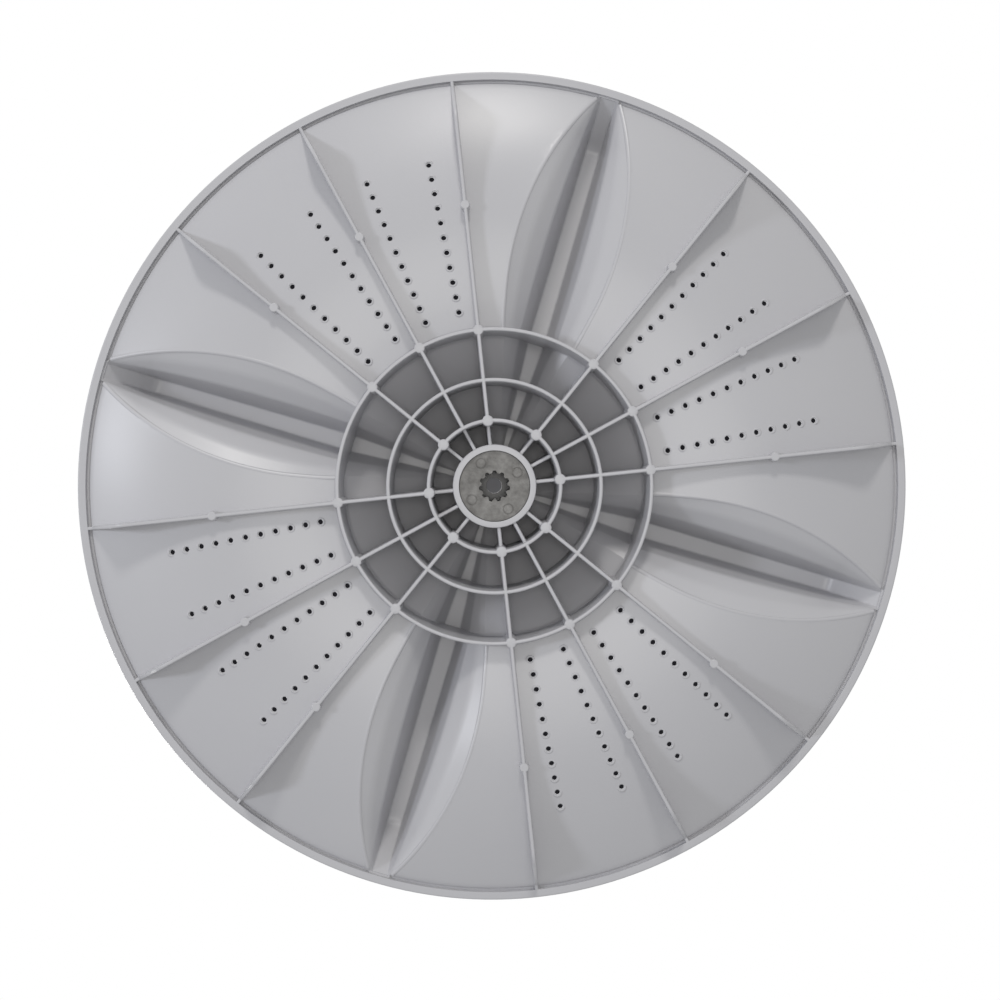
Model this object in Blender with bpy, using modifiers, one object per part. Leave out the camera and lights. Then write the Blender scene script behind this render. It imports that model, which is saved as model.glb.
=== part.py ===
"""Washing machine pulsator: a moulded ribbed disc with four hollow vanes, and the splined insert in its hub.

Metres, +Z up, as it stands in the machine: vanes up, ribs down. The origin is on the drive axis, in the plane
of the rib edges, which is also what the loose part rests on. The vanes lie along X and Y.
"""

import math

import bmesh
import bpy
from mathutils import Matrix, Vector

# Overall form
QUADRANTS = 4
OUTER_RADIUS = 0.175
WALL = 0.0022
AROUND = 48
AROUND_CENTRE = 24

# Underside of the plate: lowest on one circle, rising as an arc on both sides and straight to the rim
LOW_CIRCLE_RADIUS = 0.104
LOW_CIRCLE_HEIGHT = 0.0049
PLATE_INNER_BEND = 0.30
PLATE_OUTER_BEND = 0.116
PLATE_EDGE_SLOPE = 0.306
PLATE_STEP = 0.012

# Rim
RIM_WIDTH = 0.0034
RIM_LIP = 0.0026
RIM_TOP_LIP = 0.0008
RIM_EDGE_ROUND = 0.0006

# Centre dome, inside the outer ring
DOME_FOOT_HEIGHT = 0.022
DOME_TOP_HEIGHT = 0.0366
DOME_CORNER = 0.0025
DOME_SIDE_DRAFT = 0.0008
DOME_FLAT_RADIUS = 0.0185

# Ribs and rings
STIFFENER_THICKNESS = 0.0017
RING_RADII = (0.0648, 0.0439, 0.0272)
RIBS_PER_QUADRANT = 3
RIB_END_ANGLE = math.radians(54)
RIB_END_ROUND = 0.009
RIB_END_LAND = 0.0018
RIB_BOSS_RADIUS = 0.0019
RIB_BOSS_CIRCLE = 0.1166
RING_BOSS_RADIUS = 0.0022
BOSS_SIDES = 6

# Hub
HUB_RADIUS = 0.01735
HUB_FACE_HEIGHT = 0.005
SPOKE_EDGE_HEIGHT = 0.006
SCREW_HOLE_RADIUS = 0.0033
SCREW_RECESS_RADIUS = 0.013
SCREW_RECESS_DEPTH = 0.003

# Splined insert
INSERT_RADIUS = 0.0145
INSERT_FACE_RECESS = 0.0012
INSERT_LENGTH = 0.021
INSERT_FIT = 0.0003
LUG_COUNT = 4
LUG_WIDTH = 0.005
LUG_REACH = 0.0014
LUG_SETBACK = 0.004
LUG_LENGTH = 0.013
SPLINE_TEETH = 11
SPLINE_TURN = math.radians(24.1)
SPLINE_TIP_RADIUS = 0.0053
SPLINE_ROOT_RADIUS = 0.0065
SPLINE_TIP_SHARE = 0.22
SPLINE_ROOT_SHARE = 0.30

# Water holes: radial rows on both sides of each plain rib
HOLE_RADIUS = 0.001
HOLE_SIDES = 4
HOLE_ROW_ANGLES = tuple(math.radians(a) for a in (28.1, 39.4, 50.6, 61.9))
HOLES_PER_ROW = 11
FIRST_HOLE_CIRCLE = 0.0737
HOLE_PITCH = 0.00627

# Vanes: half widths and heights of the hollow, on the underside
VANE_INNER_END = 0.014
VANE_TIP_INSET = 0.0008
VANE_WIDEST_AT = 0.106
VANE_FOOT_HALF = 0.0219
VANE_FOOT_TIP_HALF = 0.0048
VANE_SHOULDER_WIDEST_AT = 0.094
VANE_SHOULDER_HALF = 0.0084
VANE_SHOULDER_TIP_HALF = 0.0042
VANE_CREST_HALF = 0.0037
VANE_CREST_TIP_HALF = 0.0031
VANE_CREST_HEIGHT = 0.038
VANE_SLOPE_LENGTH = 0.0193
VANE_SHOULDER_SHARE = 0.29
VANE_FLARE_SAG = 0.14
VANE_TIP_RISE = 0.0006

# The same inside the dome, from the outer ring to the vane's inner end
VANE_DOME_HALVES = (0.0148, 0.0078, 0.0037)
VANE_END_HALVES = (0.0018, 0.0012, 0.0007)
VANE_END_DROP = 0.0009

# Where the vane's outside lies from its hollow, in walls sideways and up: foot, flare, shoulder and crest
VANE_WALL_SIDES = ((0.25, 1.0), (0.58, 0.83), (0.91, 0.52), (0.81, 1.0))
VANE_FULL_WALL_RISE = 0.012

# Cutters reach past the faces that they cut by this much
OVERCUT = 0.004


def circle_point(radius, angle, z=0.0):
    return Vector((radius * math.cos(angle), radius * math.sin(angle), z))


def plate_height(r):
    """Height of the plate's underside at a radius outside the dome."""
    bend = PLATE_OUTER_BEND if r > LOW_CIRCLE_RADIUS else PLATE_INNER_BEND
    on_arc = min(r, bend_end_radius()) - LOW_CIRCLE_RADIUS
    rise = bend - math.sqrt(bend**2 - on_arc**2)
    return LOW_CIRCLE_HEIGHT + rise + max(0.0, r - bend_end_radius()) * PLATE_EDGE_SLOPE


def bend_end_radius():
    return LOW_CIRCLE_RADIUS + PLATE_OUTER_BEND * math.sin(math.atan(PLATE_EDGE_SLOPE))


def dome_height(r):
    """Height of the dome's underside: flat over the hub, then a shallow cone down to the outer ring."""
    share = min(1.0, max(0.0, (r - DOME_FLAT_RADIUS) / (dome_inner_radius() - DOME_FLAT_RADIUS)))
    return DOME_TOP_HEIGHT - (DOME_TOP_HEIGHT - DOME_FOOT_HEIGHT) * share


def dome_inner_radius():
    """The dome's side wall starts inside the outer ring's thickness."""
    return RING_RADII[0] - STIFFENER_THICKNESS / 4


def rim_inner_radius():
    return OUTER_RADIUS - RIM_WIDTH


def rim_bottom_height():
    return plate_height(rim_inner_radius()) - RIM_LIP


def spaced(start, end, count):
    return [start + (end - start) * i / (count - 1) for i in range(count)]


def offset_line(points, distance):
    """The open line moved to its left by a distance, with mitred corners."""
    moved = []
    for i, here in enumerate(points):
        normals = []
        for a, b in ((i - 1, i), (i, i + 1)):
            if a >= 0 and b < len(points):
                along = (Vector(points[b]) - Vector(points[a])).normalized()
                normals.append(Vector((-along.y, along.x)))
        mean = sum(normals, Vector((0, 0))) / len(normals)
        moved.append(Vector(here) + mean * (distance / mean.length_squared))
    return [(p.x, p.y) for p in moved]


def underside_line():
    """Dome and plate seen from below, from the hub outwards, as (radius, height)."""
    ring = dome_inner_radius()
    dome = [(r, dome_height(r)) for r in (DOME_FLAT_RADIUS, ring - DOME_CORNER)]
    side = [
        (ring, DOME_FOOT_HEIGHT - DOME_CORNER),
        (ring + DOME_SIDE_DRAFT, plate_height(ring)),
    ]
    plate = [(r, plate_height(r)) for r in spaced(LOW_CIRCLE_RADIUS - PLATE_STEP, bend_end_radius(), 3)]
    return dome, side, plate


def rib_end_line():
    """Lower edge of a rib near the rim: level, rounded, then steep up to the rim's lower face."""
    top = rim_bottom_height()
    round_rise = RIB_END_ROUND * (1 - math.cos(RIB_END_ANGLE))
    straight = (top - round_rise) / math.tan(RIB_END_ANGLE)
    end = rim_inner_radius() - RIB_END_LAND
    start = end - straight - RIB_END_ROUND * math.sin(RIB_END_ANGLE)
    turns = [RIB_END_ANGLE * i / 3 for i in range(4)]
    line = [(start + RIB_END_ROUND * math.sin(t), RIB_END_ROUND * (1 - math.cos(t))) for t in turns]
    return line + [(end, top)]


def link(obj, collection):
    collection.objects.link(obj)
    return obj


def mesh_object(name, bm, collection):
    mesh = bpy.data.meshes.new(name)
    bm.to_mesh(mesh)
    bm.free()
    return link(bpy.data.objects.new(name, mesh), collection)


def turned(name, lines, collection, steps=AROUND):
    """(radius, height) lines turned about Z, each running down its outer side.

    A line is closed unless it starts on the axis. The flats face the ribs, the vanes and the rows of holes,
    and touch the true circles.
    """
    bm = bmesh.new()
    corner = math.pi / steps
    for line in lines:
        row = [bm.verts.new(circle_point(r / math.cos(corner), -corner, z)) for r, z in line]
        if line[0][0] > 0.0:
            row.append(row[0])
        for a, b in zip(row, row[1:]):
            bm.edges.new((a, b))
    obj = mesh_object(name, bm, collection)
    screw = obj.modifiers.new("turn", "SCREW")
    screw.steps = steps
    screw.render_steps = steps
    screw.use_merge_vertices = True
    screw.merge_threshold = 0.00001
    return obj


def boolean(obj, other, operation):
    cut = obj.modifiers.new(other.name, "BOOLEAN")
    cut.operation = operation
    cut.object = other
    cut.solver = "MANIFOLD"
    return cut


def hide_cutter(obj):
    obj.hide_render = True
    obj.display_type = "WIRE"
    return obj


def add_cylinder(bm, radius, bottom, top, sides, place=(0, 0), turn=0.0):
    centre = Matrix.Translation((place[0], place[1], (bottom + top) / 2))
    bmesh.ops.create_cone(
        bm,
        cap_ends=True,
        segments=sides,
        radius1=radius,
        radius2=radius,
        depth=top - bottom,
        matrix=centre @ Matrix.Rotation(turn, 4, "Z"),
    )


def add_box(bm, inner, outer, width, bottom, top, angle):
    """A radial box from one radius to another, at an angle about Z."""
    size = Vector((outer - inner, width, top - bottom))
    centre = Vector(((outer + inner) / 2, 0, (bottom + top) / 2))
    matrix = Matrix.Rotation(angle, 4, "Z") @ Matrix.Translation(centre) @ Matrix.Diagonal(size).to_4x4()
    bmesh.ops.create_cube(bm, size=1.0, matrix=matrix)


def add_prism(bm, outline, bottom, top):
    """A closed (x, y) outline, counterclockwise, raised from one height to another."""
    low = [bm.verts.new((x, y, bottom)) for x, y in outline]
    high = [bm.verts.new((x, y, top)) for x, y in outline]
    bm.faces.new(low[::-1])
    bm.faces.new(high)
    for i in range(len(outline)):
        j = (i + 1) % len(outline)
        bm.faces.new((low[i], low[j], high[j], high[i]))


def rib_angles():
    step = math.tau / QUADRANTS / (RIBS_PER_QUADRANT + 1)
    return [
        (q * (RIBS_PER_QUADRANT + 1) + k) * step
        for q in range(QUADRANTS)
        for k in range(1, RIBS_PER_QUADRANT + 1)
    ]


def end_rib_angles():
    """The first and last rib of each quadrant, which carry bosses on the inner ring too."""
    return [a for i, a in enumerate(rib_angles()) if i % RIBS_PER_QUADRANT in (0, RIBS_PER_QUADRANT - 1)]


def make_envelope(collection):
    """The solid under the plate's upper face, down to the rib edges."""
    dome, side, plate = underside_line()
    edge = plate_height(rim_inner_radius())
    upper = offset_line(dome + side + plate + [(rim_inner_radius(), edge)], WALL)
    lip = upper[-1][1] + RIM_TOP_LIP
    centre = [(0.0, upper[0][1])]
    rim = [
        (OUTER_RADIUS - 3 * RIM_EDGE_ROUND, lip),
        (OUTER_RADIUS - RIM_EDGE_ROUND, lip - RIM_EDGE_ROUND / 2),
        (OUTER_RADIUS, lip - 2 * RIM_EDGE_ROUND),
        (OUTER_RADIUS, rim_bottom_height() + RIM_EDGE_ROUND),
        (OUTER_RADIUS - RIM_EDGE_ROUND, rim_bottom_height()),
    ]
    lower = rib_end_line()[::-1] + [(0.0, 0.0)]
    return turned("pulsator_disc", [centre + upper + rim + lower], collection)


def make_cavity(collection):
    """The space under the plate and the dome, before the ribs and rings stand in it."""
    dome, side, plate = underside_line()
    line = [(0.0, DOME_TOP_HEIGHT)] + dome + side + plate
    line += [(rim_inner_radius(), plate_height(rim_inner_radius()))]
    line += [(rim_inner_radius(), -OVERCUT), (0.0, -OVERCUT)]
    return turned("cavity", [line], collection)


def vane_tip():
    return rim_inner_radius() - VANE_TIP_INSET


def lens_half(x, widest, widest_at, tip_half):
    """Half width, at a distance from the axis, of a lens whose sides are arcs that narrow to the tip."""
    narrowing = widest - tip_half
    arc = ((vane_tip() - widest_at) ** 2 + narrowing**2) / (2 * narrowing)
    return widest - arc + math.sqrt(arc**2 - (x - widest_at) ** 2)


def vane_halves(x):
    """Half widths of a vane's hollow at its foot, its shoulder and its crest."""
    ring = RING_RADII[0]
    if x < ring:
        inward = (ring - x) / (ring - VANE_INNER_END)
        return [a + (b - a) * inward for a, b in zip(VANE_DOME_HALVES, VANE_END_HALVES)]
    along = (x - ring) / (vane_tip() - ring)
    return [
        lens_half(x, VANE_FOOT_HALF, VANE_WIDEST_AT, VANE_FOOT_TIP_HALF),
        lens_half(x, VANE_SHOULDER_HALF, VANE_SHOULDER_WIDEST_AT, VANE_SHOULDER_TIP_HALF),
        VANE_CREST_HALF + (VANE_CREST_TIP_HALF - VANE_CREST_HALF) * along,
    ]


def vane_section(x, wall):
    """Half of a vane's section at a distance from the axis: the foot first, the crest last, as (y, z)."""
    ring = RING_RADII[0]
    tip = vane_tip()
    x = min(x, tip)
    foot, shoulder, crest = vane_halves(x)
    ceiling = dome_height(x) if x < ring else plate_height(x)
    inward = max(0.0, (ring - x) / (ring - VANE_INNER_END))
    level = VANE_CREST_HEIGHT - VANE_END_DROP * inward
    slope_share = max(0.0, (x - (tip - VANE_SLOPE_LENGTH)) / VANE_SLOPE_LENGTH)
    top = level + (plate_height(tip) + VANE_TIP_RISE - level) * slope_share
    flare = (top - ceiling) * VANE_SHOULDER_SHARE
    middle = ((foot + shoulder) / 2, ceiling + flare * (0.5 - VANE_FLARE_SAG))
    steep = 2 * (middle[1] - ceiling) / (foot - shoulder)
    half = [
        (foot + WALL, ceiling - WALL * steep),
        (foot, ceiling),
        middle,
        (shoulder, ceiling + flare),
        (crest, top),
    ]
    if wall:
        share = min(1.0, (top - ceiling) / VANE_FULL_WALL_RISE)
        sides = VANE_WALL_SIDES[:1] + VANE_WALL_SIDES
        half = [
            (y + wall * side * share, z + wall * (1 + (up - 1) * share))
            for (y, z), (side, up) in zip(half, sides)
        ]
    base = min(half[0][1], ceiling) - WALL / 4
    return [(half[0][0], base)] + half


def vane_stations():
    """Distances from the axis at which a vane has a section."""
    ring = RING_RADII[0]
    slope = vane_tip() - VANE_SLOPE_LENGTH
    inside = spaced(VANE_INNER_END, ring - STIFFENER_THICKNESS, 2)
    level = spaced(ring + STIFFENER_THICKNESS, slope, 4)
    return inside + level + spaced(slope, vane_tip(), 3)[1:]


def make_vanes(name, wall, collection):
    """Four lofts along X and Y. With a wall they are the vanes' outside, without it their hollows."""
    bm = bmesh.new()
    for q in range(QUADRANTS):
        turn = Matrix.Rotation(q * math.tau / QUADRANTS, 3, "Z")
        rows = []
        stations = vane_stations()
        if wall:
            stations[-1] += wall / 2
        for x in stations:
            half = vane_section(x, wall)
            section = [(-y, z) for y, z in half] + [(y, z) for y, z in half[::-1]]
            rows.append([bm.verts.new(turn @ Vector((x, y, z))) for y, z in section])
        for a, b in zip(rows, rows[1:]):
            for i in range(len(a)):
                j = (i + 1) % len(a)
                bm.faces.new((a[i], a[j], b[j], b[i]))
        bm.faces.new(rows[0][::-1])
        bm.faces.new(rows[-1])
    bmesh.ops.recalc_face_normals(bm, faces=bm.faces)
    return mesh_object(name, bm, collection)


def make_ring(index, collection):
    inner = RING_RADII[index] - STIFFENER_THICKNESS / 2
    outer = inner + STIFFENER_THICKNESS
    top = VANE_CREST_HEIGHT + 2 * OVERCUT
    line = [(inner, top), (outer, top), (outer, -2 * OVERCUT), (inner, -2 * OVERCUT)]
    return turned(f"ring_{index}", [line], collection, AROUND_CENTRE if index else AROUND)


def make_ribs(collection):
    bm = bmesh.new()
    for angle in rib_angles():
        add_box(
            bm,
            (HUB_RADIUS + INSERT_RADIUS) / 2,
            OUTER_RADIUS,
            STIFFENER_THICKNESS,
            -2 * OVERCUT,
            VANE_CREST_HEIGHT + 2 * OVERCUT,
            angle,
        )
    return mesh_object("ribs", bm, collection)


def make_bosses(collection):
    bm = bmesh.new()
    places = [(RIB_BOSS_CIRCLE, RIB_BOSS_RADIUS, a) for a in rib_angles()]
    places += [(RING_RADII[0], RING_BOSS_RADIUS, a) for a in rib_angles()]
    places += [(RING_RADII[-1], RING_BOSS_RADIUS, a) for a in end_rib_angles()]
    for circle, radius, angle in places:
        at = circle_point(circle, angle)
        add_cylinder(bm, radius, -2 * OVERCUT, VANE_CREST_HEIGHT + 2 * OVERCUT, BOSS_SIDES, at, angle)
    return mesh_object("bosses", bm, collection)


def make_hub(collection):
    top = VANE_CREST_HEIGHT + 2 * OVERCUT
    line = [(0.0, top), (HUB_RADIUS, top), (HUB_RADIUS, -2 * OVERCUT), (0.0, -2 * OVERCUT)]
    return turned("hub", [line], collection, AROUND_CENTRE)


def make_screw_hole(collection):
    """The hole for the fixing screw and the round recess that takes the screw's head."""
    recess_floor = DOME_TOP_HEIGHT + WALL - SCREW_RECESS_DEPTH
    line = [
        (0.0, recess_floor + SCREW_RECESS_DEPTH + OVERCUT),
        (SCREW_RECESS_RADIUS, recess_floor + SCREW_RECESS_DEPTH + OVERCUT),
        (SCREW_RECESS_RADIUS, recess_floor),
        (SCREW_HOLE_RADIUS, recess_floor),
        (SCREW_HOLE_RADIUS, insert_bottom()),
        (0.0, insert_bottom()),
    ]
    return turned("screw_hole", [line], collection, AROUND_CENTRE)


def make_hub_recess(collection):
    """Sets the spokes' edges back inside the inner ring, and the hub's face nearly as far."""
    inner_ring = RING_RADII[-1] - STIFFENER_THICKNESS / 2
    line = [
        (0.0, HUB_FACE_HEIGHT),
        (HUB_RADIUS, HUB_FACE_HEIGHT),
        (HUB_RADIUS, SPOKE_EDGE_HEIGHT),
        (inner_ring, SPOKE_EDGE_HEIGHT),
        (inner_ring, -OVERCUT),
        (0.0, -OVERCUT),
    ]
    return turned("hub_recess", [line], collection, AROUND_CENTRE)


def make_water_holes(collection):
    bm = bmesh.new()
    for q in range(QUADRANTS):
        for row in HOLE_ROW_ANGLES:
            angle = row + q * math.tau / QUADRANTS
            for i in range(HOLES_PER_ROW):
                radius = FIRST_HOLE_CIRCLE + i * HOLE_PITCH
                at = circle_point(radius, angle)
                bottom = plate_height(radius) - OVERCUT
                top = plate_height(radius) + WALL + OVERCUT
                add_cylinder(bm, HOLE_RADIUS, bottom, top, HOLE_SIDES, at, angle)
    return mesh_object("water_holes", bm, collection)


def insert_bottom():
    return HUB_FACE_HEIGHT + INSERT_FACE_RECESS


def make_insert_blank(name, fit, collection):
    """The insert's outside: a round bar with lugs that key it into the hub. The fit makes it its pocket."""
    bottom = insert_bottom() - (OVERCUT if fit else 0.0)
    top = insert_bottom() + INSERT_LENGTH + fit
    bm = bmesh.new()
    add_cylinder(bm, INSERT_RADIUS + fit, bottom, top, AROUND_CENTRE, turn=math.pi / AROUND_CENTRE)
    return mesh_object(name, bm, collection)


def make_lugs(name, fit, collection):
    bm = bmesh.new()
    low = insert_bottom() + LUG_SETBACK - fit
    high = insert_bottom() + LUG_SETBACK + LUG_LENGTH + fit
    for i in range(LUG_COUNT):
        angle = (i + 0.5) * math.tau / LUG_COUNT
        reach = INSERT_RADIUS + LUG_REACH + fit
        add_box(bm, INSERT_RADIUS - LUG_REACH, reach, LUG_WIDTH + 2 * fit, low, high, angle)
    return mesh_object(name, bm, collection)


def spline_outline():
    """Internal spline: at each tooth the outline comes in to the tip circle."""
    pitch = math.tau / SPLINE_TEETH
    points = []
    for i in range(SPLINE_TEETH):
        for radius, share in (
            (SPLINE_TIP_RADIUS, -SPLINE_TIP_SHARE / 2),
            (SPLINE_TIP_RADIUS, SPLINE_TIP_SHARE / 2),
            (SPLINE_ROOT_RADIUS, 0.5 - SPLINE_ROOT_SHARE / 2),
            (SPLINE_ROOT_RADIUS, 0.5 + SPLINE_ROOT_SHARE / 2),
        ):
            at = circle_point(radius, SPLINE_TURN + (i + share) * pitch)
            points.append((at.x, at.y))
    return points


def make_spline_cutter(collection):
    bm = bmesh.new()
    bottom = insert_bottom() - OVERCUT
    add_prism(bm, spline_outline(), bottom, insert_bottom() + INSERT_LENGTH + OVERCUT)
    return mesh_object("spline_cutter", bm, collection)


def make_material(name, colour, roughness, metallic):
    material = bpy.data.materials.new(name)
    material.use_nodes = True
    shader = material.node_tree.nodes["Principled BSDF"]
    shader.inputs["Base Color"].default_value = (*colour, 1.0)
    shader.inputs["Roughness"].default_value = roughness
    shader.inputs["Metallic"].default_value = metallic
    return material


def build_disc(parts, cutters):
    hollows = make_vanes("vane_hollows", 0.0, cutters)
    cavity = make_cavity(cutters)
    boolean(cavity, hollows, "UNION")
    rings = [make_ring(i, cutters) for i in range(len(RING_RADII))]
    for stiffener in (*rings, make_ribs(cutters), make_bosses(cutters), make_hub(cutters)):
        boolean(cavity, hide_cutter(stiffener), "DIFFERENCE")
    pocket = make_insert_blank("insert_pocket", INSERT_FIT, cutters)
    boolean(pocket, hide_cutter(make_lugs("lug_slots", INSERT_FIT, cutters)), "UNION")

    disc = make_envelope(parts)
    boolean(disc, hide_cutter(make_vanes("vane_outsides", WALL, cutters)), "UNION")
    holes = (make_hub_recess(cutters), pocket, make_screw_hole(cutters), make_water_holes(cutters))
    for cutter in (cavity, *holes):
        boolean(disc, hide_cutter(cutter), "DIFFERENCE")
    hide_cutter(hollows)
    disc.data.materials.append(make_material("grey_polypropylene", (0.60, 0.60, 0.61), 0.42, 0.0))
    return disc


def build_insert(parts, cutters):
    insert = make_insert_blank("splined_insert", 0.0, parts)
    boolean(insert, hide_cutter(make_lugs("lugs", 0.0, cutters)), "UNION")
    boolean(insert, hide_cutter(make_spline_cutter(cutters)), "DIFFERENCE")
    insert.data.materials.append(make_material("die_cast_alloy", (0.24, 0.23, 0.22), 0.5, 0.9))
    return insert


def main():
    for obj in list(bpy.data.objects):
        bpy.data.objects.remove(obj, do_unlink=True)
    parts = bpy.data.collections.new("pulsator")
    cutters = bpy.data.collections.new("cutters")
    for collection in (parts, cutters):
        bpy.context.scene.collection.children.link(collection)
    build_disc(parts, cutters)
    build_insert(parts, cutters)


main()
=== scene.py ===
"""Looks for the washing machine pulsator: a fine disc and insert, their materials, the studio and the camera.

Lengths are in millimetres, save where a comment says metres, and become metres when a mesh is made.
Z is the drive axis, with the vanes up. Each vane lies along X or Y.
"""

import math

import bmesh
import bpy
import numpy as np
from mathutils import Matrix, Vector


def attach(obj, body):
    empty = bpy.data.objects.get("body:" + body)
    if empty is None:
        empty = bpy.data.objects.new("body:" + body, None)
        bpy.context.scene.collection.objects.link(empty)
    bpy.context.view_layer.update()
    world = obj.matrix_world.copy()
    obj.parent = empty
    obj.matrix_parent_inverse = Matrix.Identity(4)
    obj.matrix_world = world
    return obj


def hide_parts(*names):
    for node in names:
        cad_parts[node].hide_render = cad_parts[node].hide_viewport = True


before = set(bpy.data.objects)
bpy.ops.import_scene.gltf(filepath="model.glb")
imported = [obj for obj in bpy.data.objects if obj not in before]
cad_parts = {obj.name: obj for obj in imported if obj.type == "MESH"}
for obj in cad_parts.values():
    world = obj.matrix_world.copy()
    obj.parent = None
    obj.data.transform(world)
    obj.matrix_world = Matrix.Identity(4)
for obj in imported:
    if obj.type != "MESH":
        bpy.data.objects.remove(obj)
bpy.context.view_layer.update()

MM = 0.001

# Points closer than this are one point
SAME_POINT = 0.0001

# The disc has four like quarters, and its large turned shapes have this many steps around
QUADRANTS = 4
AROUND = 224

# A rounded corner takes up at most this share of each line beside it
CORNER_ROOM = 0.49

# Plate, dome and rim
OUTER_R = 174.9
WALL = 2.2
LOW_R, LOW_Z = 104.0, 4.9
INNER_BEND = 300.0
OUTER_RISE, OUTER_POWER = 15.4, 1.9
DOME_FLAT_R, DOME_TOP_Z = 18.5, 36.6
DOME_FOOT_Z = 22.0
DOME_TOP_ROUND, DOME_CORNER, DOME_FOOT_ROUND = 20.0, 3.5, 1.5
DOME_INSET, DOME_FOOT_STEP, DOME_FOOT_RUN = 0.3, 0.8, 10.0
PLATE_START, PLATE_STATIONS = 14.0, 26
RIM_IN_R = 171.6
RIM_LIP, RIM_TOP_LIP = 1.9, 0.8
RIM_SHOULDER = ((-0.2, 0.35), (0.7, RIM_TOP_LIP))
RIM_ROUNDS = (1.0, 1.1, 0.7, 0.0)
RIM_CLEAR, RIM_REACH = 0.5, 1.4
GROOVE_START_R = 169.0
GROOVE_R, GROOVE_D = 170.2, 0.7
GROOVE_LEAD, GROOVE_SLOPE = 0.25, 0.35
GROOVE_CHAMFER, GROOVE_CHAMFER_Z = 0.2, 0.3
TIP_BLOCK, TIP_BLOCK_H, TIP_BLOCK_REACH = 4.5, 9.0, 2.0

# Stiffeners
RINGS = (64.8, 43.9, 27.2)
RIB_EDGE_W, RING_EDGE_W = 1.55, 1.6
EDGE_ROUND = ((0.25, 0.0), (0.6, 0.07), (0.86, 0.28), (1.0, 0.62))
DRAFT = 0.012
RIB_ANGLES = [math.radians(90 * q + a) for q in range(QUADRANTS) for a in (22.5, 45.0, 67.5)]
RIB_END_ROUND, RIB_END_ANGLE = 9.0, math.radians(54)
RIB_END_R = 169.8
RIB_END_STEPS = 8
RIB_STEP = 0.01
SPOKE_Z = 6.0
HUB_R, HUB_Z, HUB_FLARE = 17.35, 5.0, 0.4
HUB_EDGE = ((0.5, 0.0), (0.15, 0.12), (0.0, 0.5))
RIB_BOSS_AT = 116.6
RIB_BOSS_R, OUTER_BOSS_R, INNER_BOSS_R = 1.9, 2.2, 2.3
BOSS_EDGE = ((0.0, 0.0), (0.8, 0.0), (0.93, 0.12), (1.0, 0.4))
BOSS_FLARE = 0.5

# Hub pocket and screw recess
POCKET_R, POCKET_Z = 14.8, 27.5
SCREW_R = 3.3
RECESS_R, RECESS_DEPTH, RECESS_FLARE = 13.0, 3.0, 0.2

# Water holes
HOLE_ANGLES = [math.radians(90 * q + a) for q in range(QUADRANTS) for a in (28.1, 39.4, 50.6, 61.9)]
HOLE_RADII = [73.7 + 6.27 * i for i in range(11)]
HOLE_R = 1.08
HOLE_MOUTH, HOLE_MOUTH_H = 0.25, 0.3
HOLE_FLARE, HOLE_FLARE_H = 0.3, 0.2
COLLAR_R, COLLAR_H = 1.9, 0.16
COLLAR_TAPER, COLLAR_SIDE, COLLAR_FLARE = 0.35, 0.12, 0.15

# Vanes: a lens has its greatest half width, where that is, and its half width at the tip
VANE_IN, VANE_TIP = 14.0, 170.8
VANE_FOOT = (21.9, 106.0, 4.8)
VANE_SHOULDER = (8.4, 94.0, 4.2)
VANE_CREST = (3.7, 3.1)
VANE_TOP_Z = 37.98
VANE_TIP_RISE = 0.6
SLOPE_START = 151.5
SLOPE_LEAD, SLOPE_EASE = 6.0, 0.04
VANE_STATIONS = (14, 26, 20)

# Half widths of foot, shoulder and crest where a vane crosses the outer ring and where it ends on the dome
VANE_DOME = (14.8, 7.8, 3.7)
VANE_END = (1.8, 1.2, 0.7)
VANE_END_DROP = 0.9
SHOULDER_SHARE = 0.29
FLARE_SAG = 0.14
FOOT_ROUND, SHOULDER_ROUND, CREST_ROUND = 14.0, 5.0, 1.0
FULL_ROUND_RISE = 6.0

# The outside of a vane lies a wall away: shares of it across and up for toe, foot, flare, shoulder and crest
VANE_WALL_SIDES = ((0.25, 1.0), (0.25, 1.0), (0.58, 0.83), (0.91, 0.52), (0.81, 1.0))
FULL_WALL_RISE = 12.0
VANE_BASE_Z = -4.0
VANE_SINK = 1.5
STATION_BEND = 12.0
STEP_INSIDE, STEP_HOLLOW, STEP_OUTSIDE = 1.7, 0.7, 1.7
BEAD_R, BEAD_H = 1.2, 0.12
BEAD_STATIONS, BEAD_SIDES = 72, 14
BEAD_START, BEAD_END = 0.4, 1.0

# Splined insert
INSERT_R, INSERT_Z, INSERT_L, INSERT_EDGE = 14.75, 6.2, 21.0, 0.2
TEETH, TIP_R, ROOT_R = 11, 5.3, 6.5
TOOTH_POINTS = ((TIP_R, -0.12), (TIP_R, 0.12), (ROOT_R, 0.33), (ROOT_R, 0.5), (ROOT_R, 0.67))
SPLINE_TURN = math.radians(24.1)
MOUTH_R, MOUTH_DEPTH = 5.25, 0.25
MARK_AT, MARK_TURN = 11.0, 42.5
MARK_IN_R, MARK_OUT_R, MARK_DEPTH = 1.75, 2.3, 0.45

# How far the working solids reach past the part
BODY_BOTTOM, CAVITY_BOTTOM = -10.0, -20.0
STIFFENER_TOP = 50.0
OVERLAP = 1.0
OVERCUT, POCKET_OVERCUT, MOUTH_OVERCUT, MARK_OVERCUT = 3.0, 5.0, 2.0, 1.0


def plate_z(r):
    """Height of the plate's underside: a shallow dish that is steepest at the rim."""
    if r < LOW_R:
        return LOW_Z + INNER_BEND - math.sqrt(INNER_BEND**2 - (LOW_R - r) ** 2)
    return LOW_Z + OUTER_RISE * ((r - LOW_R) / (RIM_IN_R - LOW_R)) ** OUTER_POWER


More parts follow.
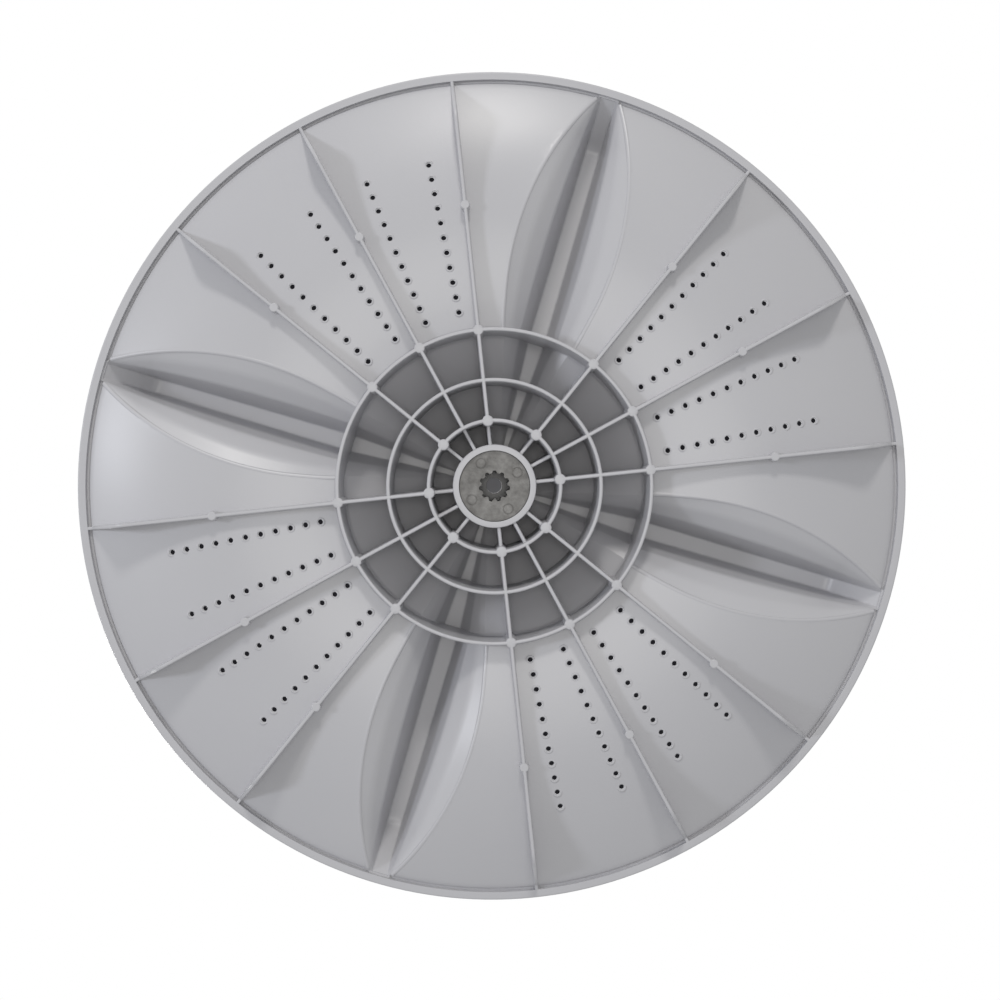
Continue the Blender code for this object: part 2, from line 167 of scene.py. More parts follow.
def dome_z(r):
    """Height of the dome's underside: flat at the centre, then a cone down to the outer ring."""
    foot_r = RINGS[0] - RIB_EDGE_W / 2
    share = min(1.0, max(0.0, (r - DOME_FLAT_R) / (foot_r - DOME_FLAT_R)))
    return DOME_TOP_Z - (DOME_TOP_Z - DOME_FOOT_Z) * share


def spun(points, angle):
    """Points turned about the drive axis. The rounding makes quarter turns exact."""
    c, s = round(math.cos(angle), 15), round(math.sin(angle), 15)
    return [(x * c - y * s, x * s + y * c, z) for x, y, z in points]


def quarter_turns():
    return [q * math.tau / QUADRANTS for q in range(QUADRANTS)]


def offset_line(points, distance):
    """The line moved sideways by a distance, with its corners kept mitred."""
    moved = []
    for i, here in enumerate(points):
        normals = []
        for a, b in ((i - 1, i), (i, i + 1)):
            if a >= 0 and b < len(points):
                along = (Vector(points[b]) - Vector(points[a])).normalized()
                normals.append(Vector((-along.y, along.x)))
        mean = sum(normals, Vector((0, 0))) / len(normals)
        moved.append(tuple(Vector(here) + mean * (distance / mean.length_squared)))
    return moved


def rounded(points, radii, steps=5):
    """The open line with each inner corner rounded by its radius, as far as its neighbours leave room."""
    out = [tuple(points[0])]
    for i in range(1, len(points) - 1):
        a, b, c = (Vector(points[j]) for j in (i - 1, i, i + 1))
        u, v = (a - b).normalized(), (c - b).normalized()
        half = u.angle(v) / 2
        r = radii[i - 1]
        if r <= 0:
            out.append(tuple(b))
            continue
        reach = min(r / math.tan(half), CORNER_ROOM * (a - b).length, CORNER_ROOM * (c - b).length)
        r = reach * math.tan(half)
        centre = b + (u + v).normalized() * (r / math.sin(half))
        p0, p1 = b + u * reach - centre, b + v * reach - centre
        turn = math.atan2(p0.x * p1.y - p0.y * p1.x, p0.dot(p1))
        for k in range(steps + 1):
            t = turn * k / steps
            x = centre.x + p0.x * math.cos(t) - p0.y * math.sin(t)
            y = centre.y + p0.x * math.sin(t) + p0.y * math.cos(t)
            out.append((x, y))
    return out + [tuple(points[-1])]


def closed_mesh(name, verts, faces):
    """A closed solid from points in millimetres, with its faces turned outward."""
    mesh = bpy.data.meshes.new(name)
    mesh.from_pydata([tuple(c * MM for c in v) for v in verts], [], faces)
    bm = bmesh.new()
    bm.from_mesh(mesh)
    bmesh.ops.remove_doubles(bm, verts=bm.verts, dist=SAME_POINT * MM)
    bmesh.ops.recalc_face_normals(bm, faces=bm.faces)
    bmesh.ops.triangulate(bm, faces=[f for f in bm.faces if len(f.verts) > 4])
    if bm.calc_volume(signed=True) < 0:
        bmesh.ops.reverse_faces(bm, faces=bm.faces)
    bm.to_mesh(mesh)
    bm.free()
    obj = bpy.data.objects.new(name, mesh)
    bpy.context.scene.collection.objects.link(obj)
    return obj


def turned(name, loops, steps=AROUND, at=(0.0, 0.0)):
    """Closed (r, z) loops turned about Z through a point. A loop from r 0 to r 0 closes on the axis."""
    verts, faces = [], []
    for loop in loops:
        base = len(verts)
        n = len(loop)
        on_axis = loop[0][0] == 0.0 and loop[-1][0] == 0.0
        for s in range(steps):
            a = (s + 0.5) * math.tau / steps
            verts += [(at[0] + r * math.cos(a), at[1] + r * math.sin(a), z) for r, z in loop]
        for s in range(steps):
            t = (s + 1) % steps
            for i in range(n - 1 if on_axis else n):
                j = (i + 1) % n
                quad = [base + s * n + i, base + t * n + i, base + t * n + j, base + s * n + j]
                if on_axis and i == 0:
                    quad = [base, base + t * n + j, base + s * n + j]
                elif on_axis and i == n - 2:
                    quad = [base + s * n + i, base + t * n + i, base + n - 1]
                faces.append(quad)
    return closed_mesh(name, verts, faces)


def swept(name, rows):
    """Closed loft through rows of points with equal counts, capped at both ends."""
    n = len(rows[0])
    verts = [p for row in rows for p in row]
    faces = []
    for k in range(len(rows) - 1):
        for i in range(n):
            j = (i + 1) % n
            faces.append([k * n + i, k * n + j, (k + 1) * n + j, (k + 1) * n + i])
    faces.append(list(range(n))[::-1])
    faces.append([(len(rows) - 1) * n + i for i in range(n)])
    return closed_mesh(name, verts, faces)


def joined(name, objects):
    """Several separate closed meshes as one object."""
    bm = bmesh.new()
    for obj in objects:
        bm.from_mesh(obj.data)
        bpy.data.objects.remove(obj)
    mesh = bpy.data.meshes.new(name)
    bm.to_mesh(mesh)
    bm.free()
    whole = bpy.data.objects.new(name, mesh)
    bpy.context.scene.collection.objects.link(whole)
    return whole


def apply_modifiers(obj):
    """Replaces the object's mesh by what its modifiers make of it."""
    bpy.context.view_layer.update()
    evaluated = obj.evaluated_get(bpy.context.evaluated_depsgraph_get())
    mesh = bpy.data.meshes.new_from_object(evaluated)
    obj.modifiers.clear()
    obj.data = mesh


def combine(obj, other, operation):
    """Applies one boolean and removes the other object."""
    modifier = obj.modifiers.new("combine", "BOOLEAN")
    modifier.operation = operation
    modifier.object = other
    modifier.solver = "MANIFOLD"
    apply_modifiers(obj)
    bpy.data.objects.remove(other)
    return obj


def top_line(wall):
    """Dome and plate from the axis out: the underside for wall 0, a parallel line above it otherwise."""
    ring = RINGS[0] - DOME_INSET
    past = ring + DOME_FOOT_RUN
    corners = [
        (0.0, DOME_TOP_Z),
        (DOME_FLAT_R, DOME_TOP_Z),
        (ring, dome_z(ring)),
        (ring + DOME_FOOT_STEP, plate_z(ring)),
        (past, plate_z(past)),
    ]
    line = rounded(corners, [DOME_TOP_ROUND, DOME_CORNER, DOME_FOOT_ROUND], steps=6)
    line += [(r, plate_z(r)) for r in np.linspace(ring + PLATE_START, RIM_IN_R, PLATE_STATIONS)]
    return offset_line(line, wall) if wall else line


def lens_half(x, shape):
    """Half width of a lens, whose sides are circle arcs, at a distance from the axis."""
    widest, at, tip = shape
    arc = ((VANE_TIP - at) ** 2 + (widest - tip) ** 2) / (2 * (widest - tip))
    return widest - arc + math.sqrt(arc * arc - (x - at) ** 2)


def bent(x, y):
    """Place along a vane of a point at a side distance: near the outer ring the stations follow its curve."""
    bend = max(0.0, 1.0 - abs(x - RINGS[0]) / STATION_BEND)
    return x - bend * (x - math.sqrt(x * x - y * y))


def end_slope(x):
    """How far a vane's crest has come down toward the plate: 0 before the end slope, nearly 1 at the tip."""
    s = max(0.0, (x - SLOPE_START) / (VANE_TIP - SLOPE_START))
    return 0.5 * (s + math.sqrt(s * s + SLOPE_EASE**2)) - SLOPE_EASE / 2


def vane_section(x, wall):
    """Outline across a vane at a distance from the axis, as (y, z), from foot to foot over the crest."""
    ring = RINGS[0]
    x = min(x, VANE_TIP)
    if x < ring:
        t = (ring - x) / (ring - VANE_IN)
        foot, shoulder, crest = (a + (b - a) * t for a, b in zip(VANE_DOME, VANE_END))
        ceiling = dome_z(x)
        level = VANE_TOP_Z - VANE_END_DROP * t
    else:
        t = (x - ring) / (VANE_TIP - ring)
        foot, shoulder = lens_half(x, VANE_FOOT), lens_half(x, VANE_SHOULDER)
        crest = VANE_CREST[0] + (VANE_CREST[1] - VANE_CREST[0]) * t
        ceiling = plate_z(x)
        level = VANE_TOP_Z
    top = level + (plate_z(VANE_TIP) + VANE_TIP_RISE - level) * end_slope(x)
    flare = (top - ceiling) * SHOULDER_SHARE
    mid = ((foot + shoulder) / 2, ceiling + flare * (0.5 - FLARE_SAG))
    steep = 2 * (mid[1] - ceiling) / (foot - shoulder)
    reach = math.hypot(bent(x, foot), foot)
    rim = dome_z(reach) if x < ring else plate_z(reach)
    inside = [
        (foot + WALL, rim - WALL * steep),
        (foot, rim),
        mid,
        (shoulder, ceiling + flare),
        (crest, top),
    ]
    share = min(1.0, (top - ceiling) / FULL_WALL_RISE)
    half = []
    for (y, z), (across, up) in zip(inside, VANE_WALL_SIDES):
        half.append((y + wall * across * share, z + wall * (1 + (up - 1) * share)))
    edge = min(1.0, (top - ceiling) / FULL_ROUND_RISE)
    radii = [0.0, FOOT_ROUND, SHOULDER_ROUND * edge, (CREST_ROUND + wall) * edge]
    line = [(-y, z) for y, z in half] + half[::-1]
    line = rounded(line, radii + radii[::-1], steps=4)
    base = ceiling - VANE_SINK if wall else VANE_BASE_Z
    return [(line[0][0], base)] + line + [(line[-1][0], base)]


def vanes(name, wall):
    """The four vanes as lofts: their hollows for wall 0, their outsides otherwise."""
    # The hollow's step from the dome down to the plate stays within the thickness of the outer ring.
    inner, outer, sloped = VANE_STATIONS
    beyond = RINGS[0] + (STEP_OUTSIDE if wall else STEP_HOLLOW)
    stations = list(np.linspace(VANE_IN, RINGS[0] - STEP_INSIDE, inner))
    stations += list(np.linspace(beyond, SLOPE_START - SLOPE_LEAD, outer))
    stations += list(np.linspace(SLOPE_START - SLOPE_LEAD, VANE_TIP, sloped))[1:]
    if wall:
        stations[-1] += wall / 2
    made = []
    for q, angle in enumerate(quarter_turns()):
        rows = []
        for x in stations:
            section = [(bent(x, y), y, z) for y, z in vane_section(x, wall)]
            rows.append(spun(section, angle))
        made.append(swept(f"{name}_{q}", rows))
    return joined(name, made)


def bead_rows(side):
    """A round bar along one side of a vane's foot, as rings of points. BEAD_H of it stands out below."""
    path = []
    for along in np.linspace(RINGS[0] + BEAD_START, VANE_TIP - BEAD_END, BEAD_STATIONS):
        y = side * lens_half(along, VANE_FOOT)
        x = bent(along, y)
        path.append(Vector((x, y, plate_z(math.hypot(x, y)) + BEAD_R - BEAD_H)))
    rows = []
    for i, here in enumerate(path):
        along = (path[min(i + 1, len(path) - 1)] - path[max(i - 1, 0)]).normalized()
        across = along.cross(Vector((0, 0, 1))).normalized()
        up = across.cross(along)
        row = []
        for k in range(BEAD_SIDES):
            a = k * math.tau / BEAD_SIDES
            row.append(tuple(here + across * BEAD_R * math.cos(a) + up * BEAD_R * math.sin(a)))
        rows.append(row)
    return rows


def make_beads():
    """A low bead along each side of a vane's foot, where the flare meets the plate."""
    made = []
    for q, angle in enumerate(quarter_turns()):
        for side in (-1, 1):
            rows = [spun(row, angle) for row in bead_rows(side)]
            made.append(swept(f"bead_{q}_{side}", rows))
    return joined("beads", made)


def rib_bottom():
    """Lower edge of a rib from the hub to the rim, as (r, z)."""
    top = plate_z(RIM_IN_R) - RIM_LIP
    rise = RIB_END_ROUND * (1 - math.cos(RIB_END_ANGLE))
    straight = (top - rise) / math.tan(RIB_END_ANGLE)
    start = RIB_END_R - straight - RIB_END_ROUND * math.sin(RIB_END_ANGLE)
    step = RINGS[2]
    line = [(POCKET_R + OVERLAP, SPOKE_Z), (step, SPOKE_Z), (step + RIB_STEP, 0.0), (start, 0.0)]
    for k in range(1, RIB_END_STEPS + 1):
        t = RIB_END_ANGLE * k / RIB_END_STEPS
        line.append((start + RIB_END_ROUND * math.sin(t), RIB_END_ROUND * (1 - math.cos(t))))
    return line + [(RIB_END_R, top), (RIM_IN_R + OVERLAP, top + RIB_STEP)]


def stiffener_profile(width):
    """Half section of a rib or ring above its lower edge, as (y, height): narrow and rounded below."""
    half = width / 2
    low = [(half * share, up) for share, up in EDGE_ROUND]
    return low + [(half + DRAFT * STIFFENER_TOP, STIFFENER_TOP)]


def make_ribs():
    half = stiffener_profile(RIB_EDGE_W)
    section = half + [(-y, up) for y, up in half[::-1]]
    made = []
    for k, angle in enumerate(RIB_ANGLES):
        rows = [spun([(r, y, z + up) for y, up in section], angle) for r, z in rib_bottom()]
        made.append(swept(f"rib_{k}", rows))
    return joined("ribs", made)


def make_rings():
    half = stiffener_profile(RING_EDGE_W)
    loops = []
    for radius in RINGS:
        loops.append([(radius + y, up) for y, up in half] + [(radius - y, up) for y, up in half[::-1]])
    return turned("rings", loops)


def make_bosses():
    """Round bosses on each rib, on the outer ring at each rib, and on the inner ring beside the vanes."""
    beside_vanes = [a for i, a in enumerate(RIB_ANGLES) if i % 3 != 1]
    places = [(RIB_BOSS_AT, RIB_BOSS_R, a) for a in RIB_ANGLES]
    places += [(RINGS[0], OUTER_BOSS_R, a) for a in RIB_ANGLES]
    places += [(RINGS[2], INNER_BOSS_R, a) for a in beside_vanes]
    made = []
    for k, (r, radius, a) in enumerate(places):
        low = [(radius * share, up) for share, up in BOSS_EDGE]
        loop = low + [(radius + BOSS_FLARE, STIFFENER_TOP), (0.0, STIFFENER_TOP)]
        made.append(turned(f"boss_{k}", [loop], steps=20, at=(r * math.cos(a), r * math.sin(a))))
    return joined("bosses", made)


def make_hub():
    low = [(0.0, HUB_Z)] + [(HUB_R - inset, HUB_Z + up) for inset, up in HUB_EDGE]
    loop = low + [(HUB_R + HUB_FLARE, STIFFENER_TOP), (0.0, STIFFENER_TOP)]
    return turned("hub", [loop], steps=160)


def envelope(name, wall):
    """Everything under the surface that lies a given wall above the underside, with the rim at full wall."""
    line = [p for p in top_line(wall) if p[0] < RIM_IN_R - RIM_CLEAR]
    line[0] = (0.0, line[0][1])
    surface = plate_z(RIM_IN_R) + wall
    if wall < WALL:
        tail = [(RIM_IN_R + RIM_REACH, surface), (RIM_IN_R + RIM_REACH, BODY_BOTTOM)]
    else:
        lip = surface + RIM_TOP_LIP
        low = plate_z(RIM_IN_R) - RIM_LIP
        corners = [(RIM_IN_R + out, surface + up) for out, up in RIM_SHOULDER]
        corners += [(OUTER_R, lip), (OUTER_R, low)]
        corners += [(RIM_IN_R - OVERLAP, low), (RIM_IN_R - OVERLAP, BODY_BOTTOM)]
        tail = rounded(corners, RIM_ROUNDS)
    body = turned(name, [line + tail + [(0.0, BODY_BOTTOM)]])
    return combine(body, vanes(name + "_vanes", wall), "UNION")


def make_tip_blocks():
    """Blocks that stop the groove where a vane's tip meets the rim."""
    top = plate_z(RIM_IN_R)
    high = top + TIP_BLOCK_H
    section = [(-TIP_BLOCK, top), (TIP_BLOCK, top), (TIP_BLOCK, high), (-TIP_BLOCK, high)]
    ends = (GROOVE_R - TIP_BLOCK_REACH, RIM_IN_R + TIP_BLOCK_REACH)
    made = []
    for q, angle in enumerate(quarter_turns()):
        rows = [spun([(x, y, z) for y, z in section], angle) for x in ends]
        made.append(swept(f"block_{q}", rows))
    return joined("blocks", made)


def make_cavity():
    """Everything under the underside, with a narrow groove between the plate and the rim band."""
    top = plate_z(RIM_IN_R)
    line = [p for p in top_line(0.0) if p[0] < GROOVE_START_R]
    line += [(GROOVE_R - GROOVE_LEAD, plate_z(GROOVE_R)), (GROOVE_R, plate_z(GROOVE_R) + GROOVE_LEAD)]
    line += [(GROOVE_R + GROOVE_SLOPE, top + GROOVE_D), (RIM_IN_R - GROOVE_CHAMFER, top + GROOVE_D)]
    line += [(RIM_IN_R, top + GROOVE_CHAMFER_Z), (RIM_IN_R, CAVITY_BOTTOM), (0.0, CAVITY_BOTTOM)]
    body = combine(turned("cavity", [line]), make_tip_blocks(), "DIFFERENCE")
    return combine(body, vanes("hollows", 0.0), "UNION")


def hole_places():
    """Centre and underside height of each water hole."""
    return [((r * math.cos(a), r * math.sin(a)), plate_z(r)) for a in HOLE_ANGLES for r in HOLE_RADII]


def make_holes():
    """Cutters for the water holes, wider where they leave the collar and the upper side."""
    made = []
    for k, (at, z) in enumerate(hole_places()):
        low, mouth, high = z - OVERCUT, z - COLLAR_H, z + WALL
        wide, flared = HOLE_R + HOLE_MOUTH, HOLE_R + HOLE_FLARE
        loop = [(0.0, low), (wide, low), (wide, mouth), (HOLE_R, mouth + HOLE_MOUTH_H)]
        loop += [(HOLE_R, high - HOLE_FLARE_H), (flared, high + HOLE_FLARE_H)]
        loop += [(flared, high + OVERCUT), (0.0, high + OVERCUT)]
        made.append(turned(f"hole_{k}", [loop], steps=12, at=at))
    return joined("holes", made)


def make_collars():
    """The low round collar that each water hole has below."""
    made = []
    for k, (at, z) in enumerate(hole_places()):
        low = z - COLLAR_H
        loop = [(0.0, low), (COLLAR_R - COLLAR_TAPER, low), (COLLAR_R, low + COLLAR_SIDE)]
        loop += [(COLLAR_R + COLLAR_FLARE, z + OVERLAP), (0.0, z + OVERLAP)]
        made.append(turned(f"collar_{k}", [loop], steps=16, at=at))
    return joined("collars", made)


def make_pocket():
    """Cutter for the insert's pocket, the screw hole and the shallow recess above it."""
    top = DOME_TOP_Z + WALL
    seat = top - RECESS_DEPTH
    loop = [(0.0, -POCKET_OVERCUT), (POCKET_R, -POCKET_OVERCUT), (POCKET_R, POCKET_Z), (SCREW_R, POCKET_Z)]
    loop += [(SCREW_R, seat), (RECESS_R, seat), (RECESS_R + RECESS_FLARE, top + POCKET_OVERCUT)]
    loop += [(0.0, top + POCKET_OVERCUT)]
    return turned("pocket", [loop], steps=160)


def make_disc():
    stiffeners = make_rings()
    for other in (make_ribs(), make_bosses(), make_hub()):
        stiffeners = combine(stiffeners, other, "UNION")
    stiffeners = combine(stiffeners, envelope("limit", WALL / 2), "INTERSECT")
    disc = combine(envelope("pulsator", WALL), make_cavity(), "DIFFERENCE")
    for added in (stiffeners, make_beads(), make_collars()):
        disc = combine(disc, added, "UNION")
    for cutter in (make_holes(), make_pocket()):
        disc = combine(disc, cutter, "DIFFERENCE")
    return disc


def spline_outline():
    """Outline of the bore with its teeth, as (x, y)."""
    points = []
    for i in range(TEETH):
        for radius, share in TOOTH_POINTS:
            a = SPLINE_TURN + (i + share) * math.tau / TEETH
            points.append((radius * math.cos(a), radius * math.sin(a)))
    return points


def make_mouth():
    """Cutter for the small 45 degree lead-in of the bore."""
    deep = INSERT_Z + MOUTH_DEPTH
    low = INSERT_Z - MOUTH_OVERCUT
    cone = [(0.0, low), (MOUTH_R + deep - low, low), (MOUTH_R, deep), (0.0, deep)]
    return turned("mouth", [cone], steps=64)


def make_marks():
    """Cutters for the four ring marks on the insert's face."""
    low, deep = INSERT_Z - MARK_OVERCUT, INSERT_Z + MARK_DEPTH
    ring = [(MARK_IN_R, low), (MARK_OUT_R, low), (MARK_OUT_R, deep), (MARK_IN_R, deep)]
    made = []
    for q in range(QUADRANTS):
        a = math.radians(MARK_TURN + 90 * q)
        at = (MARK_AT * math.cos(a), MARK_AT * math.sin(a))
        made.append(turned(f"mark_{q}", [ring], steps=32, at=at))
    return joined("marks", made)


def make_insert():
    top = INSERT_Z + INSERT_L
    inset = INSERT_R - INSERT_EDGE
    loop = [(0.0, INSERT_Z), (inset, INSERT_Z), (INSERT_R, INSERT_Z + INSERT_EDGE)]
    loop += [(INSERT_R, top - INSERT_EDGE), (inset, top), (0.0, top)]
    insert = turned("insert", [loop], steps=128)
    ends = (INSERT_Z - OVERCUT, top + OVERCUT)
    bore = swept("bore", [[(x, y, z) for x, y in spline_outline()] for z in ends])
    for cutter in (bore, make_mouth(), make_marks()):
        insert = combine(insert, cutter, "DIFFERENCE")
    return insert


# Materials
PLASTIC_TINTS = (0.52, 0.518, 0.54), (0.55, 0.548, 0.568)
PLASTIC_ROUGHNESS = (0.29, 0.38)
CASTING_TINTS = (0.115, 0.112, 0.108), (0.225, 0.221, 0.214)
CASTING_ROUGHNESS = (0.42, 0.62)
PATCH_LEVELS = (0.34, 0.68)
SOFT_EDGE, GRAIN_DEPTH = 0.25, 0.2

# Painted shade in the splined bore and on the seat at its end: tint, radii and levels where the shade ends
BORE_PAINTED_SHADE = (0.11, 0.11, 0.115)
BORE_SHADE_REACH = (ROOT_R + 0.1, ROOT_R + 0.3), (INSERT_Z + 0.35, INSERT_Z + 0.1)
SEAT_PAINTED_SHADE = (0.15, 0.15, 0.155)
SEAT_SHADE_REACH = (ROOT_R + 0.5, ROOT_R + 1.0), (POCKET_Z + 1.0, POCKET_Z + 2.0)

# Shading: edges above an angle stay crisp, edges shorter than a sliver go, and large faces weigh most
SMOOTH_BELOW = math.radians(24.0)
SLIVER = 0.002
FACE_SIZE_WEIGHT = 60


def node(tree, kind, **values):
    """A new node, with each value set on the node itself or else on its input of that name."""
    made = tree.nodes.new(kind)
    for key, value in values.items():
        if hasattr(made, key):
            setattr(made, key, value)
        else:
            made.inputs[key.replace("_", " ")].default_value = value
    return made


def shaded_material(name):
    material = bpy.data.materials.new(name)
    material.use_nodes = True
    return material, material.node_tree, material.node_tree.nodes["Principled BSDF"]


def ramp(tree, value, start, end, low=0.0, high=1.0):
    """Socket that goes from low to high while a value goes from start to end."""
    made = node(tree, "ShaderNodeMapRange")
    made.inputs["From Min"].default_value = start
    made.inputs["From Max"].default_value = end
    made.inputs["To Min"].default_value = low
    made.inputs["To Max"].default_value = high
    tree.links.new(value, made.inputs["Value"])
    return made.outputs["Result"]


def noise(tree, place, **values):
    """Factor socket of a noise in the object's own metres."""
    made = node(tree, "ShaderNodeTexNoise", **values)
    tree.links.new(place.outputs["Object"], made.inputs["Vector"])
    return made.outputs["Fac"]


def mixed(tree, factor, tints):
    """Colour socket between two tints."""
    mix = node(tree, "ShaderNodeMix", data_type="RGBA")
    mix.inputs[6].default_value = (*tints[0], 1.0)
    mix.inputs[7].default_value = (*tints[1], 1.0)
    tree.links.new(factor, mix.inputs[0])
    return mix.outputs[2]


def painted_axis_shade(tree, place, radii, levels, dark, plain_tint):
    """Colour socket with painted shade near the axis on one side of a level, and the plain tint elsewhere.

    The change runs from the first to the second of the radii, and from the first to the second of the levels.
    """
    split = tree.nodes.new("ShaderNodeSeparateXYZ")
    tree.links.new(place.outputs["Object"], split.inputs[0])
    flat = tree.nodes.new("ShaderNodeCombineXYZ")
    tree.links.new(split.outputs[0], flat.inputs[0])
    tree.links.new(split.outputs[1], flat.inputs[1])
    radius = node(tree, "ShaderNodeVectorMath", operation="LENGTH")
    tree.links.new(flat.outputs[0], radius.inputs[0])
    share = node(tree, "ShaderNodeMath", operation="MAXIMUM")
    tree.links.new(ramp(tree, radius.outputs["Value"], *(r * MM for r in radii)), share.inputs[0])
    tree.links.new(ramp(tree, split.outputs[2], *(z * MM for z in levels)), share.inputs[1])
    shade_mix = node(tree, "ShaderNodeMix", data_type="RGBA")
    shade_mix.inputs[6].default_value = (*dark, 1.0)
    tree.links.new(share.outputs[0], shade_mix.inputs[0])
    tree.links.new(plain_tint, shade_mix.inputs[7])
    return shade_mix.outputs[2]


def plastic():
    """Light grey polypropylene: a faint flow mottle, a fine moulded grain and slightly rounded edges."""
    material, tree, shader = shaded_material("moulded_polypropylene")
    place = node(tree, "ShaderNodeTexCoord")
    flow = noise(tree, place, Scale=22.0, Detail=3.0, Roughness=0.55)
    tint = mixed(tree, flow, PLASTIC_TINTS)
    # Painted shade on the plastic seat deep at the end of the bore
    tint = painted_axis_shade(tree, place, *SEAT_SHADE_REACH, SEAT_PAINTED_SHADE, tint)
    tree.links.new(tint, shader.inputs["Base Color"])
    tree.links.new(ramp(tree, flow, 0.0, 1.0, *PLASTIC_ROUGHNESS), shader.inputs["Roughness"])
    grain = noise(tree, place, Scale=900.0, Detail=2.0)
    edge = node(tree, "ShaderNodeBevel", samples=6)
    edge.inputs["Radius"].default_value = SOFT_EDGE * MM
    bump = node(tree, "ShaderNodeBump", Strength=0.06, Distance=GRAIN_DEPTH * MM)
    tree.links.new(grain, bump.inputs["Height"])
    tree.links.new(edge.outputs["Normal"], bump.inputs["Normal"])
    tree.links.new(bump.outputs["Normal"], shader.inputs["Normal"])
    shader.inputs["IOR"].default_value = 1.49
    return material


def casting():
    """Matte warm grey die casting with a fine sandy grain and darker patches."""
    material, tree, shader = shaded_material("die_cast_alloy")
    shader.inputs["Metallic"].default_value = 0.6
    place = node(tree, "ShaderNodeTexCoord")
    patches = noise(tree, place, Scale=240.0, Detail=4.0, Roughness=0.6)
    tint = mixed(tree, ramp(tree, patches, *PATCH_LEVELS), CASTING_TINTS)
    # Painted shade inside the splined bore
    tint = painted_axis_shade(tree, place, *BORE_SHADE_REACH, BORE_PAINTED_SHADE, tint)
    tree.links.new(tint, shader.inputs["Base Color"])
    tree.links.new(ramp(tree, patches, 0.0, 1.0, *CASTING_ROUGHNESS), shader.inputs["Roughness"])
    grain = noise(tree, place, Scale=2600.0, Detail=3.0)
    bump = node(tree, "ShaderNodeBump", Strength=0.35, Distance=GRAIN_DEPTH * MM)
    tree.links.new(grain, bump.inputs["Height"])
    tree.links.new(bump.outputs["Normal"], shader.inputs["Normal"])
    return material


def smooth(obj):
    """Smooth shading that stays crisp at real edges."""
    bm = bmesh.new()
    bm.from_mesh(obj.data)
    bmesh.ops.dissolve_degenerate(bm, edges=bm.edges, dist=SLIVER * MM)
    for face in bm.faces:
        face.smooth = True
    for edge in bm.edges:
        edge.smooth = len(edge.link_faces) != 2 or edge.calc_face_angle(0.0) < SMOOTH_BELOW
    bm.to_mesh(obj.data)
    bm.free()
    # Large faces set the normals, so that the slivers along a cut don't show in reflections.
    weighted = obj.modifiers.new("weighted", "WEIGHTED_NORMAL")
    weighted.mode = "FACE_AREA"
    weighted.weight = FACE_SIZE_WEIGHT
    weighted.keep_sharp = True
    apply_modifiers(obj)


def place_piece(obj, name, cad_node, material):
    obj.name = name
    smooth(obj)
    obj.data.materials.clear()
    obj.data.materials.append(material)
    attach(obj, "root")
    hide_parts(cad_node)


place_piece(make_disc(), "pulsator_moulding", "pulsator_disc", plastic())
place_piece(make_insert(), "insert_casting", "splined_insert", casting())

# The photograph's axes: the disc is seen from below, turned so that one vane leans to the right of up
TURN = math.radians(16.5)
UP = Vector((math.sin(TURN), math.cos(TURN), 0.0))
RIGHT = Vector((-math.cos(TURN), math.sin(TURN), 0.0))
IN = Vector((0.0, 0.0, 1.0))

# Camera: frame and focal length in the photograph's pixels, then its place, its lean and its shift
FRAME_PX, FOCAL_PX = 1000.0, 1701.0
SENSOR = 36.0
CAMERA_RIGHT, CAMERA_UP, CAMERA_BACK = -6.0, 7.0, 700.0
CAMERA_LEAN = math.radians(1.5)
SHIFT_RIGHT, SHIFT_UP = -0.0247, -0.0307

# Lamps below: name, direction in the photograph, diameter in metres, power and colour
LAMPS_BELOW = (
    ("key_below", 90, 38, 0.36, 14.5, (1.0, 0.978, 0.94)),
    ("side_below", 172, 36, 0.36, 11.8, (0.89, 0.92, 1.0)),
    ("front_below", 90, 88, 0.7, 6.8, (1.0, 0.98, 0.93)),
)
LAMP_DISTANCE = 2400.0

# The lamp above, by name, place and diameter in metres, power and colour, and the soft light all round
LAMP_ABOVE = ("key_above", (1.1, -1.3, 1.7), 0.8, 22.0, (1.0, 0.985, 0.965))
SOFT_LIGHT, SOFT_COLOUR = 0.43, (0.98, 0.99, 1.0, 1.0)

# Floor and the dark sheets behind the holes
FLOOR_HALF, FLOOR_Z = 6000.0, -0.2
FLOOR_COLOUR = (0.86, 0.86, 0.86)
HUB_SHADE, PLATE_SHADE = (0.25, 0.25, 0.258), (0.035, 0.035, 0.04)
HUB_SHEET_R, HUB_SHEET_Z = 12.6, 38.4
PLATE_SHEET_IN_R, PLATE_SHEET_OUT_R, PLATE_SHEET_Z = RINGS[0] + 1.5, 163.5, 22.2
SHEET_CLEAR = 8.0
SHEET_STEPS = 24


def photo_point(x, y, z):
    """A point given across and up in the photograph and along the drive axis, in millimetres."""
    return (RIGHT * x + UP * y + IN * z) * MM


def make_camera():
    camera = bpy.data.objects.new("camera", bpy.data.cameras.new("camera"))
    bpy.context.scene.collection.objects.link(camera)
    bpy.context.scene.camera = camera
    camera.location = photo_point(CAMERA_RIGHT, CAMERA_UP, -CAMERA_BACK)
    forward = IN * math.cos(CAMERA_LEAN) + RIGHT * math.sin(CAMERA_LEAN)
    across = RIGHT * math.cos(CAMERA_LEAN) - IN * math.sin(CAMERA_LEAN)
    camera.rotation_mode = "QUATERNION"
    camera.rotation_quaternion = Matrix((across, UP, -forward)).transposed().to_quaternion()
    camera.data.sensor_width = SENSOR
    camera.data.lens = SENSOR * FOCAL_PX / FRAME_PX
    camera.data.shift_x = SHIFT_RIGHT
    camera.data.shift_y = SHIFT_UP
    camera.data.clip_start = 0.01
    camera.data.clip_end = 20.0


def add_lamp(name, location, size, power, colour):
    """A round lamp that faces the part."""
    light = bpy.data.objects.new(name, bpy.data.lights.new(name, "AREA"))
    bpy.context.scene.collection.objects.link(light)
    light.data.shape = "DISK"
    light.data.size = size
    light.data.energy = power
    light.data.color = colour
    light.location = location
    light.rotation_euler = (-Vector(location)).to_track_quat("-Z", "Y").to_euler()


